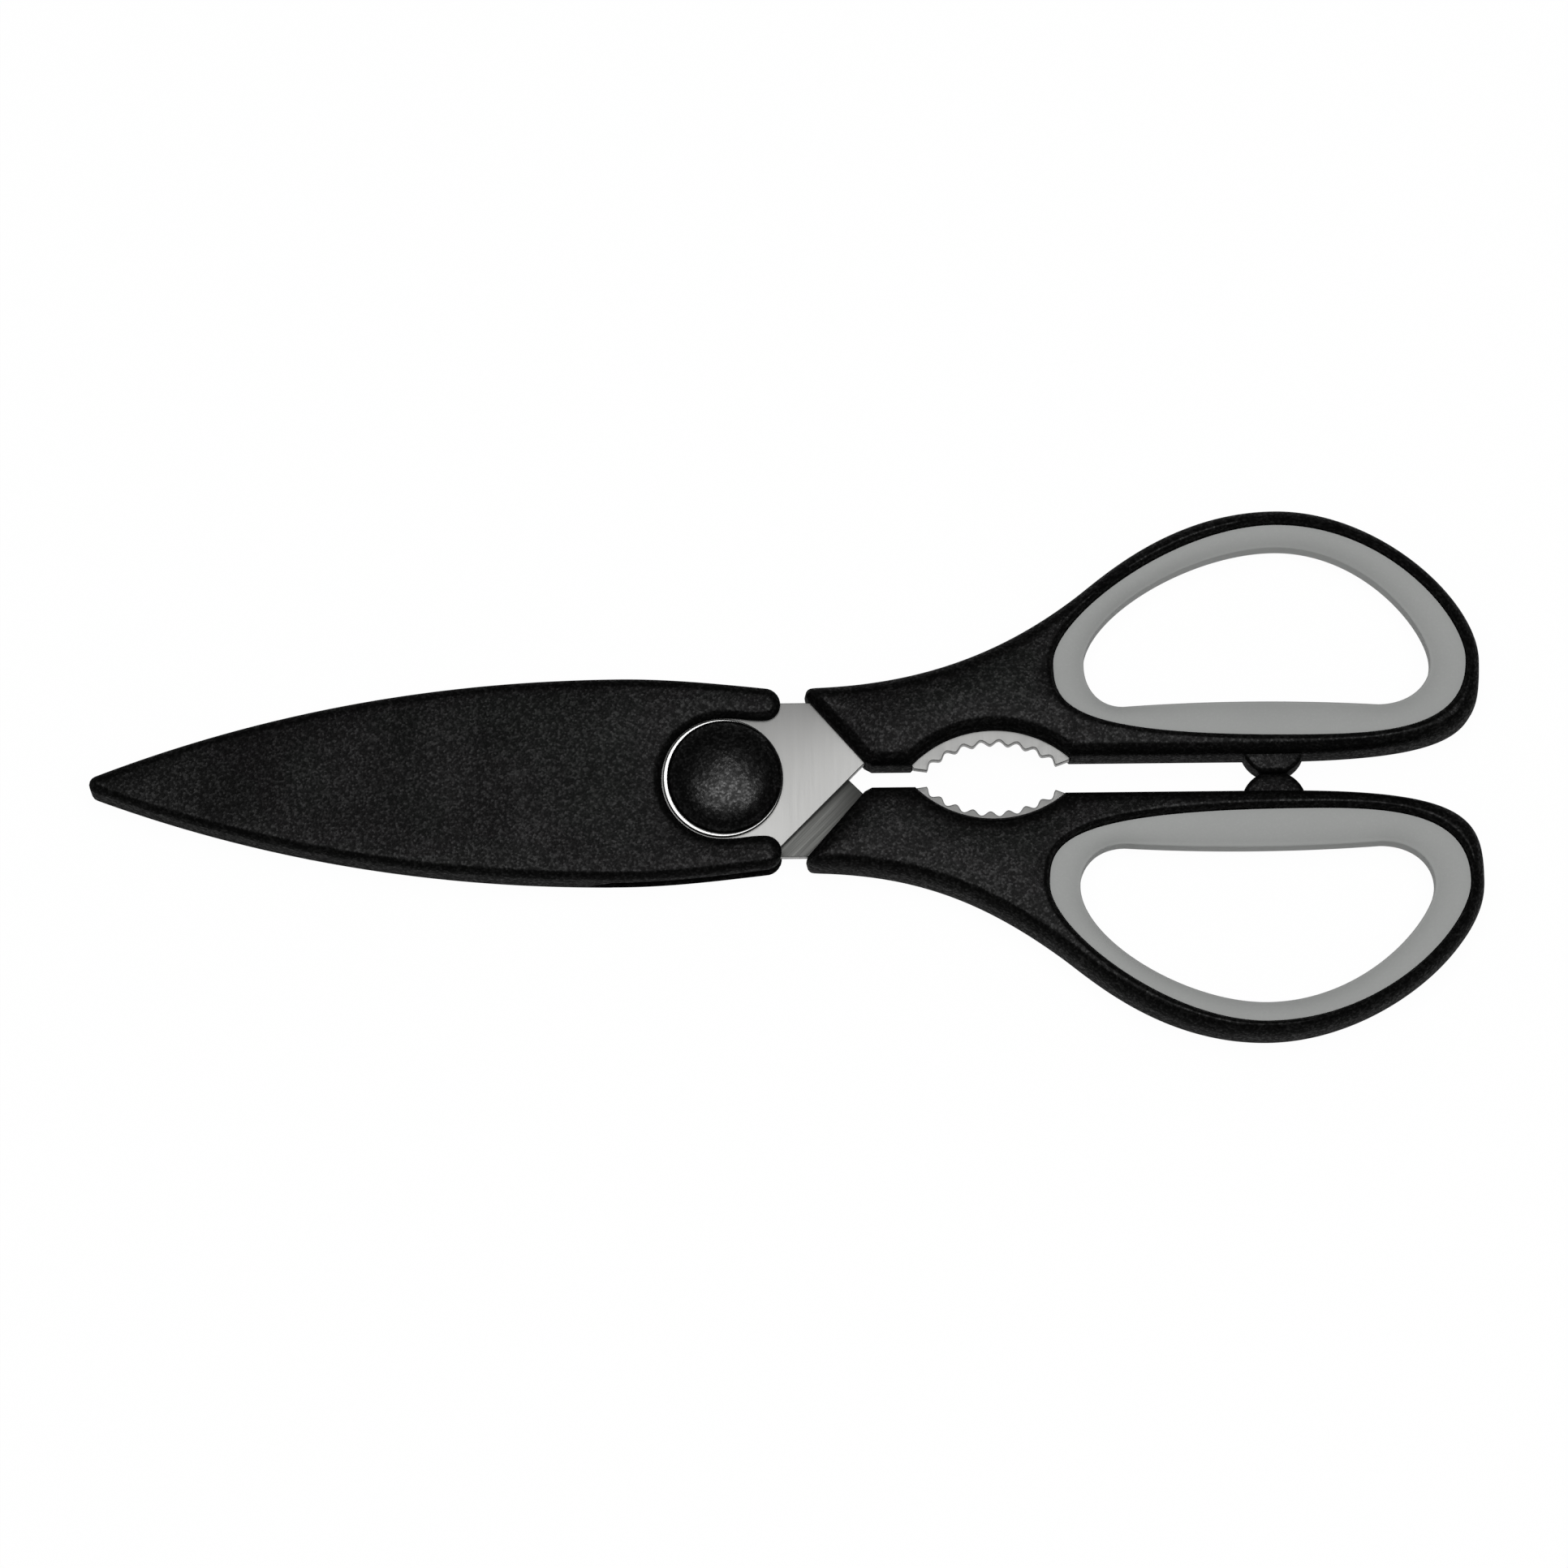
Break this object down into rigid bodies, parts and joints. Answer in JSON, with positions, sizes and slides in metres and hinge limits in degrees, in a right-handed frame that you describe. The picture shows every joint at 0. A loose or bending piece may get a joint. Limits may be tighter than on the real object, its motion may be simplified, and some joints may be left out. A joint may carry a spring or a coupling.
{
  "type": "kitchen scissors",
  "caption": "Kitchen scissors with two-tone finger loops, a toothed bottle-opener jaw between the handles and a notched sheath pushed over the closed blades.",
  "frame": {"origin": "on the pivot axis, at the flat back of the pivot, which is the plane that the closed scissors lie on", "axes": "+X along the scissors from the pivot to the finger loops, +Y across them towards the upper loop, +Z out of the front face"},
  "size_m": [0.2344, 0.0904, 0.0132],
  "materials": {
    "black_plastic": "fine spark-eroded grain",
    "grey_grip": "matt soft-touch",
    "blade_steel": "satin, brushed across the blade",
    "bright_steel": "polished"
  },
  "bodies": {
    "pivot": {"pivot_bolt": "blade_steel", "pivot_nut": "blade_steel", "front_washer": "bright_steel", "rear_washer": "bright_steel", "front_cap": "black_plastic", "rear_cap": "black_plastic"},
    "upper_half": {"front_blade": "blade_steel", "upper_handle": "black_plastic", "upper_grip": "grey_grip"},
    "lower_half": {"rear_blade": "blade_steel", "lower_handle": "black_plastic", "lower_grip": "grey_grip"},
    "sheath": {"sheath_shell": "black_plastic", "sheath_back": "black_plastic"}
  },
  "joints": [
    {"name": "sheath_slide", "type": "slide", "parent": "pivot", "child": "sheath", "axis": [-1, 0, 0], "range_m": [0, 0.38]},
    {"name": "upper_half_pivot", "type": "hinge", "parent": "pivot", "child": "upper_half", "pos_m": [0, 0, 0.006], "axis": [0, 0, 1], "range_deg": [0, 25]},
    {"name": "lower_half_pivot", "type": "hinge", "parent": "pivot", "child": "lower_half", "pos_m": [0, 0, 0.006], "axis": [0, 0, 1], "range_deg": [-25, 0]}
  ],
  "couplings": [
    {"joint": "upper_half_pivot", "follows": "sheath_slide", "rad_per_m": 1.148},
    {"joint": "lower_half_pivot", "follows": "sheath_slide", "rad_per_m": -1.148}
  ]
}
